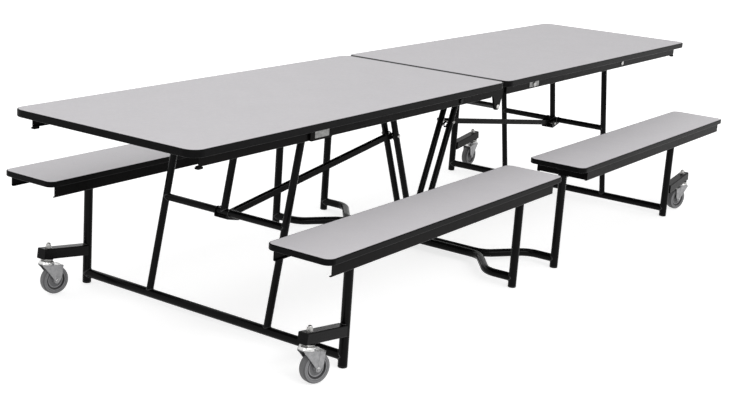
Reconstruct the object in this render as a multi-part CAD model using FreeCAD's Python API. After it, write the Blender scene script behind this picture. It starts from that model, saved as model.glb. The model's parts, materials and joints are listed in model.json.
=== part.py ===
import FreeCAD, Part
import math
import os
from FreeCAD import Vector

# Mobile folding cafeteria table with four attached benches, in millimetres.
# X runs along the table with the fold line at x = 0, Y runs across it, Z is up from the floor.
# The right half (x > 0) is drawn, and the left half is its mirror image, apart from the
# fold hinge and the two pivot plates, which differ.

# ---- Table tops ----
top_reach = 1829.0            # fold line to the far end of one top
top_width = 762.0
top_height = 745.0
top_thickness = 24.0
top_corner = 45.0             # plan radius of all four corners of a top
fold_gap = 3.0                # between the two tops when open
band_thickness = 4.0          # moulded edge band round tops and seats
band_round = 3.4              # bullnose radius of the band

# ---- Benches ----
seat_start = 85.0             # fold line to the near end of a seat
seat_end = 1585.0
seat_width = 240.0
seat_center = 578.0           # table centre line to the middle of a seat
seat_height = 445.0
seat_thickness = 20.0
seat_corner = 30.0

# ---- Folded steel channels under tops and seats ----
sheet = 2.5
inside_bend = 2.0
apron_inset = 33.0            # edge of a top to the outer face of an apron
apron_depth = 38.0
apron_flange = 30.0
apron_lip = 12.0
apron_start = 60.0
apron_end = 1770.0
lip_start = 125.0             # the lip is notched back to here to clear the fold hinge
bumper_length = 20.0
bumper_height = 7.0
bumper_proud = 4.0
rail_spread = 216.0           # outer face to outer face of the two rails of a bench
rail_depth = 40.0
rail_flange = 25.0
rail_lip = 10.0
rail_start = 147.5
rail_end = 1555.0

# ---- Tubes ----
post_diameter = 31.75
leg_diameter = 25.4
tube_wall = 1.65
weld_gap = 0.25               # left between a coped tube end and the tube that it is welded to
foot_height = 8.0
foot_round = 3.0
post_center = 571.0           # table centre line to the posts under a bench
end_post_x = 1296.0
inner_post_x = 175.0
seat_clearance = 0.5          # between a post top and the underside of the seat
knuckle_proud = 0.6           # by which a leg's rounded top is stouter than its tube
knuckle_flat = 1.5            # and narrower
low_tube_height = 38.0        # centre of the floor-level cross tubes
upper_tube_height = 375.0
table_leg_center = 262.0      # table centre line to each leaning table leg

# ---- Pivots ----
running_fit = 0.07            # radial clearance of a turning pin
bolt_fit = 0.1                # radial clearance of a pin that is fixed in its hole
side_play = 0.3               # between parts that turn against each other
rod_diameter = 14.0
rod_head_diameter = 21.0
rod_head_height = 5.0
end_pivot_x = 1154.0          # table top on its end frame
end_pivot_drop = 18.0         # below the underside of the top
leg_pivot_x = 292.0           # centre legs on the table top
leg_pivot_drop = 21.0
bench_pin_offset = 50.0       # from a post out to the bench pin
bench_pin_drop = 20.0         # below the underside of the seat
bench_pin_diameter = 12.0
cheek_thickness = 3.0
cheek_radius = 15.0
cheek_bite = 1.2              # how far a cheek is let into the post for its weld
cheek_tail = 14.0             # length of a cheek down the post, below its round end

# ---- Fold hinge ----
hinge_drop = 78.0             # below the underside of the top
hinge_rod_diameter = 12.0
hinge_tube_diameter = 22.0
hinge_plate = 4.0
hinge_plate_gap = 0.5
hinge_plate_reach = 112.0     # fold line to the welded end of a plate
hinge_plate_overlap = 36.0    # how far a plate passes the fold line
hinge_plate_round = 14.0      # radius round the hinge rod
hinge_plate_top = 5.0         # below the underside of the top
hinge_plate_corner = 17.0     # rounding that lets the plate swing clear of the other top
hinge_shoulder = 4.0          # above the bottom of the apron
packing_height = 24.0         # of the packing between a right hinge plate and its apron

# ---- Centre legs and brace ----
center_leg_spread = 24.0      # centre line to each of the paired centre legs
center_leg_slope = 0.41       # run over drop
center_leg_foot = 72.0        # height at which the legs are cut off
brace_pin_drop = 200.0        # below the pivot of the centre legs
brace_pin_diameter = 8.0
brace_head_diameter = 14.0
brace_head_height = 5.0
brace_foot_inboard = 32.0     # from the upper cross tube's centre
brace_foot_drop = 13.0
brace_size = 20.0
brace_sheet = 2.5
slot_length = 22.0            # centre to centre, the stroke of the leg bolt in the brace
slot_width = 13.2
slot_angle = -46.0            # from the line of the brace
slot_land = 5.0               # metal round the slot

# ---- Brace bracket on the upper cross tube ----
bracket_width = 56.0
bracket_sheet = 3.0
bracket_inboard = 20.0        # past the brace pivot
bracket_outboard = 17.0       # past the upper cross tube's centre
bracket_below = 22.0          # below the brace pivot
bracket_rise = 16.0           # of its bottom, from the inboard to the outboard end
bracket_above = 13.0          # above the upper cross tube's centre
bracket_lip = 10.0            # above the brace pivot, at the inboard end

# ---- Centre frame ----
center_tube_x = 17.0
center_tube_straight = 335.0  # centre line to the first bend
center_tube_swept = 455.0     # centre line to the second bend
center_tube_bend = 80.0
saddle_clearance = 0.5
saddle_metal = 5.0
saddle_top = 106.0

# ---- Caster arms and casters ----
arm_size = 38.0
arm_wall = 2.5
arm_end_x = 1520.0
arm_root_height = 128.5       # centre of the arm at the post
arm_end_height = 156.9
arm_bite = 12.5               # post centre to the square end of the arm
arm_cap = 4.0
stem_x = 1490.0
stem_diameter = 12.0
wheel_diameter = 100.0
wheel_width = 30.0
wheel_floor_gap = 3.0         # the open table stands on its feet
caster_trail = 38.3
tread_depth = 12.0
hub_radius = 11.0
axle_diameter = 8.0
axle_head_diameter = 12.0
axle_head_height = 4.0
fork_sheet = 3.0
race_radius = 23.0            # of the fixed race under the arm
race_height = 6.0
dome_radius = 28.0            # of the turning race on the fork's crown
fork_crown_drop = 20.0        # arm underside to the fork's crown plate
fork_front = 24.0
fork_tip_radius = 10.0
kingpin_flange = 3.0          # by which the kingpin's lower head is proud
washer_radius = 12.0
washer_thickness = 2.0
nut_radius = 10.0             # centre to corner
nut_height = 9.0
dome_height = 8.0             # of the nut's cap

# Swivel of each caster at rest, as drawn on the right front corner, in degrees
front_swivel = {"left": 18.0, "right": -18.0}
rear_swivel = {"left": -15.0, "right": 0.0}

# ---- Pivot plates on the front aprons ----
plate_thickness = 1.5
left_plate_offset = 27.5      # end pivot out to the middle of the plate and the bezel
left_plate_length = 77.0
left_plate_height = 24.0
bezel_length = 120.0
bezel_proud = 7.0
right_plate_length = 80.0
right_plate_height = 27.0
right_plate_lift = 4.0        # above the centre leg rod

# ---- Worked out ----
top_underside = top_height - top_thickness
seat_underside = seat_height - seat_thickness
post_top = seat_underside - seat_clearance
end_pivot_height = top_underside - end_pivot_drop
leg_pivot_height = top_underside - leg_pivot_drop
bench_pin_height = seat_underside - bench_pin_drop
apron_face = top_width / 2 - apron_inset
web_inner = apron_face - sheet
hinge_height = top_underside - hinge_drop
brace_pin_height = leg_pivot_height - brace_pin_drop
brace_pin_x = leg_pivot_x - center_leg_slope * brace_pin_drop
upper_tube_share = (upper_tube_height - low_tube_height) / (end_pivot_height - low_tube_height)
upper_tube_x = end_post_x + (end_pivot_x - end_post_x) * upper_tube_share
brace_foot_x = upper_tube_x - brace_foot_inboard
brace_foot_height = upper_tube_height - brace_foot_drop
center_leg_outer = center_leg_spread + leg_diameter / 2
fork_inner = wheel_width / 2 + 3.5
fork_outer = fork_inner + fork_sheet
arm_root_x = end_post_x + post_diameter / 2
arm_tilt = math.degrees(math.atan2(arm_end_height - arm_root_height, arm_end_x - arm_root_x))


# ---- Drawing helpers ----
def in_xy(height):
    return lambda u, v: Vector(u, v, height)


def in_xz(y):
    return lambda u, v: Vector(u, y, v)


def in_yz(x):
    return lambda u, v: Vector(x, u, v)


def rounded_edges(corners):
    """Straight edges and tangent arcs through corners given as (u, v, radius)."""
    pieces = []
    count = len(corners)
    for index in range(count):
        u, v, radius = corners[index]
        here = Vector(u, v, 0)
        before = Vector(corners[index - 1][0], corners[index - 1][1], 0)
        after = Vector(corners[(index + 1) % count][0], corners[(index + 1) % count][1], 0)
        if radius <= 0:
            pieces.append((here, None, here))
            continue
        back = (before - here).normalize()
        ahead = (after - here).normalize()
        half = back.getAngle(ahead) / 2
        tangent = radius / math.tan(half)
        bisector = (back + ahead).normalize()
        middle = here + bisector * (radius / math.sin(half) - radius)
        pieces.append((here + back * tangent, middle, here + ahead * tangent))
    return pieces


def outline(corners, place):
    """Plane face with the given rounded corners."""
    pieces = rounded_edges(corners)
    edges = []
    for index, (start, middle, end) in enumerate(pieces):
        if middle is not None:
            points = [place(p.x, p.y) for p in (start, middle, end)]
            edges.append(Part.Arc(*points).toShape())
        following = pieces[(index + 1) % len(pieces)][0]
        if (following - end).Length > 1e-4:
            edges.append(Part.LineSegment(place(end.x, end.y), place(following.x, following.y)).toShape())
    return Part.Face(Part.Wire(edges))


def plate_xz(corners, y_from, y_to):
    """Plate with its outline in X and Z, from one Y to another."""
    return outline(corners, in_xz(y_from)).extrude(Vector(0, y_to - y_from, 0))


def plate_xy(corners, z_from, z_to):
    return outline(corners, in_xy(z_from)).extrude(Vector(0, 0, z_to - z_from))


def rectangle(u_from, u_to, v_from, v_to, radius=0.0):
    return [(u_from, v_from, radius), (u_to, v_from, radius), (u_to, v_to, radius), (u_from, v_to, radius)]


def folded(path, thickness, bend):
    """Outline of sheet folded along path; the metal lies to the left of it, inside the bends."""
    directions = []
    for (u0, v0), (u1, v1) in zip(path, path[1:]):
        length = math.hypot(u1 - u0, v1 - v0)
        directions.append(((u1 - u0) / length, (v1 - v0) / length))
    normals = [(-dv, du) for du, dv in directions]
    outer = []
    inner = []
    for index, (u, v) in enumerate(path):
        if index in (0, len(path) - 1):
            nu, nv = normals[0] if index == 0 else normals[-1]
            outer.append((u, v, 0.0))
            inner.append((u + nu * thickness, v + nv * thickness, 0.0))
            continue
        first = normals[index - 1]
        second = normals[index]
        miter = thickness / (1 + first[0] * second[0] + first[1] * second[1])
        outer.append((u, v, bend + thickness))
        inner.append((u + (first[0] + second[0]) * miter, v + (first[1] + second[1]) * miter, bend))
    return outer + inner[::-1]


def cylinder(start, end, diameter):
    axis = end - start
    return Part.makeCylinder(diameter / 2, axis.Length, start, axis)


def tube(start, end, diameter):
    return cylinder(start, end, diameter).cut(cylinder(start, end, diameter - 2 * tube_wall))


def pin_y(x, z, y_from, y_to, diameter):
    return cylinder(Vector(x, y_from, z), Vector(x, y_to, z), diameter)


def spun_y(corners, x, z):
    """Solid turned about the line along Y at (x, z), from corners (radius, y, rounding)."""
    face = outline(corners, lambda u, v: Vector(x + u, v, z))
    return face.revolve(Vector(x, 0, z), Vector(0, 1, 0), 360)


def spun_z(corners, x=0.0, y=0.0):
    """Solid turned about the vertical at (x, y), from corners (radius, z, rounding)."""
    face = outline(corners, lambda u, v: Vector(x + u, y, v))
    return face.revolve(Vector(x, y, 0), Vector(0, 0, 1), 360)


def headed_pin(x, z, front, rear, diameter, head_diameter, head_height):
    """Pin along Y with a domed head beyond each end of its grip."""
    shank = diameter / 2
    head = head_diameter / 2
    dome = head_height * 0.6
    corners = [
        (0, -front - head_height, 0), (head, -front - head_height, dome), (head, -front, 0),
        (shank, -front, 0), (shank, rear, 0),
        (head, rear, 0), (head, rear + head_height, dome), (0, rear + head_height, 0),
    ]
    return spun_y(corners, x, z)


def mirror_y(shape, y=0.0):
    return shape.mirror(Vector(0, y, 0), Vector(0, 1, 0))


def mirror_x(shape):
    return shape.mirror(Vector(0, 0, 0), Vector(1, 0, 0))


def group(*solids):
    return Part.makeCompound(list(solids))


def pair(shape):
    """A piece and its twin on the other side of the table's centre line."""
    return group(shape, mirror_y(shape))


# ---- Tops, seats and the channels under them ----
def banded_board(x_from, x_to, y_middle, width, top, thickness, corner):
    """Laminated board and the bullnosed band round its edge."""
    half = width / 2
    outer = rectangle(x_from, x_to, y_middle - half, y_middle + half, corner)
    inner = rectangle(
        x_from + band_thickness, x_to - band_thickness,
        y_middle - half + band_thickness, y_middle + half - band_thickness,
        corner - band_thickness,
    )
    board = plate_xy(inner, top - thickness, top)
    full = plate_xy(outer, top - thickness, top)
    rims = [edge for face in full.Faces if abs(face.normalAt(0, 0).z) > 0.9 for edge in face.Edges]
    band = full.makeFillet(band_round, rims).cut(board)
    return board, band


def channel(face_y, top, depth, flange, lip, x_from, x_to):
    """Folded channel with its web at -face_y, its flange on top and a lip below, both inward."""
    path = [
        (-face_y + flange, top),
        (-face_y, top),
        (-face_y, top - depth),
        (-face_y + lip, top - depth),
    ]
    profile = outline(folded(path, sheet, inside_bend), in_yz(x_from))
    return profile.extrude(Vector(x_to - x_from, 0, 0))


def front_apron():
    apron = channel(apron_face, top_underside, apron_depth, apron_flange, apron_lip, apron_start, apron_end)
    bottom = top_underside - apron_depth
    notch = Part.makeBox(
        lip_start - apron_start, apron_lip, sheet + inside_bend,
        Vector(apron_start, -web_inner, bottom),
    )
    apron = apron.cut(notch)
    for x, z in ((end_pivot_x, end_pivot_height), (leg_pivot_x, leg_pivot_height)):
        apron = apron.cut(pin_y(x, z, -apron_face - 1, 0, rod_diameter + 2 * bolt_fit))
    return apron


def end_bumper():
    """Rubber bumper under the far end of an apron."""
    bottom = top_underside - apron_depth
    corners = rectangle(
        apron_end - bumper_length, apron_end + bumper_proud, bottom - bumper_height, bottom, 2.5
    )
    return plate_xz(corners, -apron_face, -apron_face + apron_lip)


def bezel():
    """Black frame on the left front apron, over the head of the end pivot rod."""
    half = bezel_length / 2
    middle = end_pivot_x + left_plate_offset
    corners = rectangle(middle - half, middle + half, top_underside - apron_depth, top_underside, 7.0)
    block = plate_xz(corners, -apron_face - bezel_proud, -apron_face)
    pocket = pin_y(
        end_pivot_x, end_pivot_height, -apron_face - rod_head_height - side_play, 0,
        rod_head_diameter + 4 * side_play,
    )
    return block.cut(pocket)


def aprons(with_bezel):
    pieces = [pair(front_apron()), pair(end_bumper())]
    if with_bezel:
        pieces.append(bezel())
    return group(*pieces)


def left_pivot_plate():
    """Bare bright plate on the bezel."""
    half = left_plate_length / 2
    middle = end_pivot_x + left_plate_offset
    corners = rectangle(
        middle - half, middle + half,
        end_pivot_height - left_plate_height / 2, end_pivot_height + left_plate_height / 2, 3.0,
    )
    face = -apron_face - bezel_proud
    return plate_xz(corners, face - plate_thickness, face)


def right_pivot_plate():
    """Bare bright plate on the right front apron, round the centre leg rod."""
    half = right_plate_length / 2
    middle = leg_pivot_height + right_plate_lift
    corners = rectangle(
        leg_pivot_x - half, leg_pivot_x + half,
        middle - right_plate_height / 2, middle + right_plate_height / 2, 3.0,
    )
    plate = plate_xz(corners, -apron_face - plate_thickness, -apron_face)
    return plate.cut(
        pin_y(leg_pivot_x, leg_pivot_height, -apron_face - 5, 0, rod_diameter + 2 * bolt_fit)
    )


def pivot_rods(plate_under_leg_rod):
    """Rods that carry the end frame and the centre legs between the aprons."""
    leg_rod_front = apron_face + (plate_thickness if plate_under_leg_rod else 0.0)
    end_rod = headed_pin(
        end_pivot_x, end_pivot_height, apron_face, apron_face,
        rod_diameter, rod_head_diameter, rod_head_height,
    )
    leg_rod = headed_pin(
        leg_pivot_x, leg_pivot_height, leg_rod_front, apron_face,
        rod_diameter, rod_head_diameter, rod_head_height,
    )
    return group(end_rod, leg_rod)


def hinge_outline():
    """Plate that hangs from an apron of the right half and reaches past the fold line."""
    top = top_underside - hinge_plate_top
    shoulder = top_underside - apron_depth + hinge_shoulder
    low = hinge_height - hinge_plate_round
    return [
        (hinge_plate_reach, top, 3.0),
        (-hinge_plate_overlap, top, hinge_plate_corner),
        (-hinge_plate_overlap, shoulder, 6.0),
        (-hinge_plate_round, low, hinge_plate_round - 1),
        (hinge_plate_round, low, hinge_plate_round - 1),
        (hinge_plate_overlap, shoulder, 10.0),
        (hinge_plate_reach, shoulder, 3.0),
    ]


def hinge_plates(layer, fit):
    """Plates of one half; layer 0 lies on the apron's web and layer 1 inside layer 0."""
    outer = web_inner - layer * (hinge_plate + hinge_plate_gap)
    plate = plate_xz(hinge_outline(), -outer, -outer + hinge_plate)
    if layer:
        top = top_underside - hinge_plate_top
        packing = rectangle(apron_start + 2, hinge_plate_reach, top - packing_height, top, 3.0)
        plate = plate.fuse(plate_xz(packing, -web_inner, -outer + 1)).removeSplitter()
    hole = pin_y(0, hinge_height, -apron_face, 0, hinge_rod_diameter + 2 * fit)
    return pair(plate.cut(hole))


def hinge_rod():
    """Rod through all four hinge plates and the spacer tube between the inner two."""
    rod = headed_pin(
        0, hinge_height, web_inner, web_inner, hinge_rod_diameter, rod_head_diameter - 3, rod_head_height
    )
    inner_face = web_inner - 2 * hinge_plate - hinge_plate_gap - side_play
    spacer = pin_y(0, hinge_height, -inner_face, inner_face, hinge_tube_diameter)
    bore = pin_y(0, hinge_height, -inner_face, inner_face, hinge_rod_diameter + 2 * bolt_fit)
    return group(rod, spacer.cut(bore))


# ---- Benches ----
def bench_rails():
    """The two rails, the plate across their inner ends and the two pivot pins of a front bench."""
    outer_face = seat_center + rail_spread / 2
    outer_rail = channel(
        outer_face, seat_underside, rail_depth, rail_flange, rail_lip, rail_start, rail_end
    )
    inner_rail = mirror_y(outer_rail, -seat_center)
    near = -(seat_center - rail_spread / 2 + sheet)
    far = -(outer_face - sheet)
    low = seat_underside - rail_depth + sheet
    corners = rectangle(far, near, low, seat_underside - sheet, inside_bend + 0.5)
    end_plate = outline(corners, in_yz(rail_start)).extrude(Vector(sheet, 0, 0))
    pins = [
        pin_y(post + bench_pin_offset, bench_pin_height, far, near, bench_pin_diameter)
        for post in (inner_post_x, end_post_x)
    ]
    return group(outer_rail, inner_rail, end_plate, *pins)


def bench_post(x):
    """Front post with the two cheeks that hold the bench pin outboard of it."""
    post = tube(Vector(x, -post_center, foot_height), Vector(x, -post_center, post_top), post_diameter)
    pin_x = x + bench_pin_offset
    corners = [
        (x - post_diameter / 4, bench_pin_height - cheek_radius - cheek_tail, 6.0),
        (x + post_diameter / 2, bench_pin_height - cheek_radius - cheek_tail, 6.0),
        (pin_x + cheek_radius, bench_pin_height - cheek_radius, cheek_radius - 1),
        (pin_x + cheek_radius, bench_pin_height + cheek_radius, cheek_radius - 1),
        (x - post_diameter / 4, bench_pin_height + cheek_radius, 3.0),
    ]
    for side in (-1, 1):
        face = side * (post_diameter / 2 - cheek_bite)
        cheek = plate_xz(corners, -post_center + face, -post_center + face + side * cheek_thickness)
        post = post.fuse(cheek)
    bore = cylinder(
        Vector(x, -post_center, foot_height), Vector(x, -post_center, post_top),
        post_diameter - 2 * tube_wall,
    )
    hole = pin_y(pin_x, bench_pin_height, -post_center - post_diameter, -post_center + post_diameter,
                 bench_pin_diameter + 2 * running_fit)
    return post.cut(bore).cut(hole)


def foot(x):
    """Rounded glide that closes the bottom of a post."""
    radius = post_diameter / 2
    corners = [(0, 0, 0), (radius, 0, foot_round), (radius, foot_height, 0), (0, foot_height, 0)]
    return spun_z(corners, x, -post_center)


# ---- End frame ----
def bottom_tube():
    cross = tube(
        Vector(end_post_x, -post_center, low_tube_height),
        Vector(end_post_x, post_center, low_tube_height), post_diameter,
    )
    for side in (-1, 1):
        seat = cylinder(
            Vector(end_post_x, side * post_center, 0), Vector(end_post_x, side * post_center, post_top),
            post_diameter + 2 * weld_gap,
        )
        cross = cross.cut(seat)
    return cross


def knuckled_tube(foot_point, pivot, pin_diameter, bored_length):
    """Leg whose top is rounded about a pivot along Y and drilled for it."""
    outer = cylinder(foot_point, pivot, leg_diameter)
    half = leg_diameter / 2 - knuckle_flat
    knuckle = pin_y(
        pivot.x, pivot.z, pivot.y - half, pivot.y + half, leg_diameter + 2 * knuckle_proud
    )
    direction = (pivot - foot_point).normalize()
    bore = cylinder(foot_point, foot_point + direction * bored_length, leg_diameter - 2 * tube_wall)
    hole = pin_y(pivot.x, pivot.z, pivot.y - leg_diameter, pivot.y + leg_diameter, pin_diameter)
    return outer.fuse(knuckle).cut(bore).cut(hole).removeSplitter()


def leaning_point(height, y):
    """Point at a height on the line from the bottom tube to the end pivot."""
    share = (height - low_tube_height) / (end_pivot_height - low_tube_height)
    return Vector(end_post_x + (end_pivot_x - end_post_x) * share, y, height)


def leaning_tube(low_height, y, seat_diameter):
    """Tube of the leaning plane, from the cross tube at low_height to the end pivot rod."""
    start = leaning_point(low_height, y)
    pivot = Vector(end_pivot_x, y, end_pivot_height)
    solid_top = leg_diameter
    leg = knuckled_tube(
        start, pivot, rod_diameter + 2 * running_fit, (pivot - start).Length - solid_top
    )
    cross = pin_y(start.x, start.z, y - post_diameter, y + post_diameter, seat_diameter + 2 * weld_gap)
    return leg.cut(cross)


def upper_tube():
    middle = leaning_point(upper_tube_height, 0)
    cross = tube(
        Vector(middle.x, -table_leg_center, middle.z), Vector(middle.x, table_leg_center, middle.z),
        leg_diameter,
    )
    for side in (-1, 1):
        y = side * table_leg_center
        leg = cylinder(
            leaning_point(low_tube_height, y), Vector(end_pivot_x, y, end_pivot_height),
            leg_diameter + 2 * weld_gap,
        )
        cross = cross.cut(leg)
    return cross


def brace_bracket():
    """Folded channel, open on top, that hangs on the upper cross tube and rises outboard."""
    half = bracket_width / 2
    low = brace_foot_height - bracket_below
    high = upper_tube_height + bracket_above
    inboard = brace_foot_x - bracket_inboard
    outboard = upper_tube_x + bracket_outboard
    corners = [
        (inboard, low, 5.0), (outboard, low + bracket_rise, 5.0), (outboard, high, 6.0),
        (upper_tube_x - bracket_outboard, high, 8.0), (inboard, brace_foot_height + bracket_lip, 8.0),
    ]
    bracket = plate_xz(corners, -half, half)
    inside = half - bracket_sheet
    margin = bracket_width
    slope = bracket_rise / (outboard - inboard)
    floor = low + bracket_sheet
    trough = [
        (inboard - margin, floor - slope * margin, 0),
        (outboard + margin, floor + bracket_rise + slope * margin, 0),
        (outboard + margin, high + margin, 0), (inboard - margin, high + margin, 0),
    ]
    bracket = bracket.cut(plate_xz(trough, -inside, inside))
    bracket = bracket.cut(
        pin_y(upper_tube_x, upper_tube_height, -half - 1, half + 1, leg_diameter + 2 * weld_gap)
    )
    return bracket.cut(
        pin_y(brace_foot_x, brace_foot_height, -half - 1, half + 1, brace_pin_diameter + 2 * bolt_fit)
    )


def brace_foot_bolt():
    """Shouldered bolt that centres the brace in its bracket."""
    grip = bracket_width / 2
    shoulder_end = grip - bracket_sheet - 0.1
    shoulder_start = brace_size / 2 + side_play
    bolt = headed_pin(
        brace_foot_x, brace_foot_height, grip, grip,
        brace_pin_diameter, brace_head_diameter, brace_head_height,
    )
    for side in (-1, 1):
        bolt = bolt.fuse(
            pin_y(brace_foot_x, brace_foot_height, side * shoulder_start, side * shoulder_end,
                  brace_head_diameter)
        )
    return bolt


# ---- Caster arms and casters ----
def arm_height(x):
    share = (x - arm_root_x) / (arm_end_x - arm_root_x)
    return arm_root_height + (arm_end_height - arm_root_height) * share


def arm_placement():
    """Local frame of a front caster: origin under the arm on the stem, local Z along the stem."""
    drop = arm_size / 2
    tilt = math.radians(arm_tilt)
    origin = Vector(
        stem_x + drop * math.sin(tilt), -post_center, arm_height(stem_x) - drop * math.cos(tilt)
    )
    return FreeCAD.Placement(origin, FreeCAD.Rotation(Vector(0, 1, 0), -arm_tilt))


def placed(shape):
    shape = shape.copy()
    shape.Placement = arm_placement().multiply(shape.Placement)
    return shape


def axle_drop():
    """Depth of the axle under the arm, measured along the stem."""
    tilt = math.radians(arm_tilt)
    origin = arm_placement().Base
    height = wheel_diameter / 2 + wheel_floor_gap
    return (origin.z - caster_trail * math.sin(tilt) - height) / math.cos(tilt)


def caster_arm():
    """Square tube from the post out over the caster, closed at its end."""
    tilt = math.radians(arm_tilt)
    outer_end = (arm_end_x - stem_x) / math.cos(tilt)
    inner_end = -(stem_x - end_post_x) / math.cos(tilt)
    half = arm_size / 2
    section = outline(rectangle(-half, half, 0, arm_size, 4.0), in_yz(inner_end))
    hollow = outline(
        rectangle(-half + arm_wall, half - arm_wall, arm_wall, arm_size - arm_wall, 1.5), in_yz(inner_end)
    )
    arm = section.extrude(Vector(outer_end - inner_end, 0, 0))
    arm = arm.cut(hollow.extrude(Vector(outer_end - arm_cap - inner_end, 0, 0)))
    arm = arm.cut(Part.makeCylinder(stem_diameter / 2 + bolt_fit, arm_size + 2, Vector(0, 0, -1)))
    post = cylinder(
        Vector(end_post_x, -post_center, 0), Vector(end_post_x, -post_center, post_top),
        post_diameter + 2 * weld_gap,
    )
    behind = Part.makeBox(
        arm_size * 2, arm_size * 2, post_top,
        Vector(end_post_x + arm_bite - arm_size * 2, -post_center - arm_size, 0),
    )
    return placed(arm).cut(post).cut(behind)


def caster_stem():
    """Kingpin with its fixed race, the washer and the domed nut on top of the arm."""
    radius = stem_diameter / 2
    flange = radius + kingpin_flange
    bottom = -fork_crown_drop - fork_sheet - side_play
    washer = arm_size + washer_thickness
    nut = washer + nut_height
    cap = nut + dome_height
    cap_radius = nut_radius * 0.8
    corners = [
        (0, bottom - 4, 0), (flange, bottom - 4, 0), (flange, bottom, 0), (radius, bottom, 0),
        (radius, -race_height, 0), (race_radius - 3, -race_height, 0), (race_radius, 0, 0),
        (radius, 0, 0), (radius, arm_size, 0), (washer_radius, arm_size, 0), (washer_radius, washer, 0),
        (cap_radius, washer, 0), (cap_radius, nut, 0), (cap_radius - 1.5, cap, cap_radius - 2.5), (0, cap, 0),
    ]
    stem = spun_z(corners)
    turns = [math.radians(60 * k) for k in range(7)]
    hexagon = Part.makePolygon([
        Vector(nut_radius * math.cos(turn), nut_radius * math.sin(turn), washer) for turn in turns
    ])
    flats = Part.Face(hexagon).extrude(Vector(0, 0, nut - washer))
    return placed(stem.fuse(flats))


def swivelled(shape, angle):
    """Caster piece in its local frame, turned about the kingpin and placed under the arm."""
    turned = shape.copy()
    turned.rotate(Vector(0, 0, 0), Vector(0, 0, 1), angle)
    return placed(turned)


def fork(angle):
    """Pressed yoke with the domed race on its crown and two tapered legs down to the axle."""
    depth = axle_drop()
    crown = -fork_crown_drop
    tip = fork_tip_radius
    back = -caster_trail - tip
    leg_corners = [
        (back, crown, 3.0), (fork_front, crown, 4.0), (fork_front - 5, crown - 8, 8.0),
        (-caster_trail + tip, -depth + tip, 16.0), (-caster_trail + tip, -depth - tip, tip - 1),
        (back, -depth - tip, tip - 1),
    ]
    body = plate_xz(leg_corners, -fork_outer, fork_outer)
    body = body.cut(Part.makeBox(
        wheel_diameter * 2, 2 * fork_inner, depth + tip,
        Vector(-wheel_diameter, -fork_inner, crown - fork_sheet - depth - tip),
    ))
    radius = stem_diameter / 2 + running_fit
    top = -race_height - side_play
    dome = [
        (radius, crown - 1, 0), (dome_radius, crown - 1, 0), (dome_radius, crown + 2, 0),
        (dome_radius - 3, top, 7.0), (radius, top, 0),
    ]
    body = body.fuse(spun_z(dome))
    body = body.cut(Part.makeCylinder(radius, fork_crown_drop * 2, Vector(0, 0, crown - fork_crown_drop)))
    body = body.cut(
        pin_y(-caster_trail, -depth, -fork_outer - 1, fork_outer + 1, axle_diameter + 2 * bolt_fit)
    )
    return swivelled(body.removeSplitter(), angle)


def axle(angle):
    pin = headed_pin(
        -caster_trail, -axle_drop(), fork_outer, fork_outer,
        axle_diameter, axle_head_diameter, axle_head_height,
    )
    return swivelled(pin, angle)


def both_faces(side):
    """Outline of a turned piece from the corners of its front half, (radius, y, rounding)."""
    return side + [(radius, -y, rounding) for radius, y, rounding in side[::-1]]


def wheel(angle):
    """Ribbed core on the axle, and the tread moulded round it."""
    bore = axle_diameter / 2 + running_fit
    half = wheel_width / 2
    outer = wheel_diameter / 2
    rim = outer - tread_depth
    core = both_faces([
        (bore, -fork_inner + side_play, 0), (hub_radius, -fork_inner + side_play, 0),
        (hub_radius + 1, -8.0, 0), (rim - 14, -6.0, 0), (rim - 13, -9.5, 0), (rim - 10, -9.5, 0),
        (rim - 9, -5.0, 0), (rim - 4, -5.0, 0), (rim - 3, -half + 1.5, 0), (rim, -half + 1.5, 0),
    ])
    tread = both_faces([
        (rim, -half + 1.5, 0), (rim + 1.5, -half, 0), (outer - 2.5, -half, 4.0), (outer, -half + 6, 9.0),
    ])
    return group(*[
        swivelled(spun_y(corners, -caster_trail, -axle_drop()), angle) for corners in (core, tread)
    ])


# ---- Centre legs, brace and centre frame ----
def center_leg_point(height, y):
    return Vector(leg_pivot_x - center_leg_slope * (leg_pivot_height - height), y, height)


def center_leg(y):
    """One of the paired legs, hung from the leg rod and drilled for the brace bolt."""
    start = center_leg_point(center_leg_foot - leg_diameter, y)
    pivot = Vector(leg_pivot_x, y, leg_pivot_height)
    bored = (pivot - start).Length - leg_diameter
    leg = knuckled_tube(start, pivot, rod_diameter + 2 * running_fit, bored)
    trim = Part.makeBox(
        leg_pivot_x, leg_diameter * 2, center_leg_foot,
        Vector(start.x - leg_pivot_x / 2, y - leg_diameter, 0),
    )
    hole = pin_y(
        brace_pin_x, brace_pin_height, y - leg_diameter, y + leg_diameter,
        brace_pin_diameter + 2 * bolt_fit,
    )
    return leg.cut(trim).cut(hole)


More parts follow.
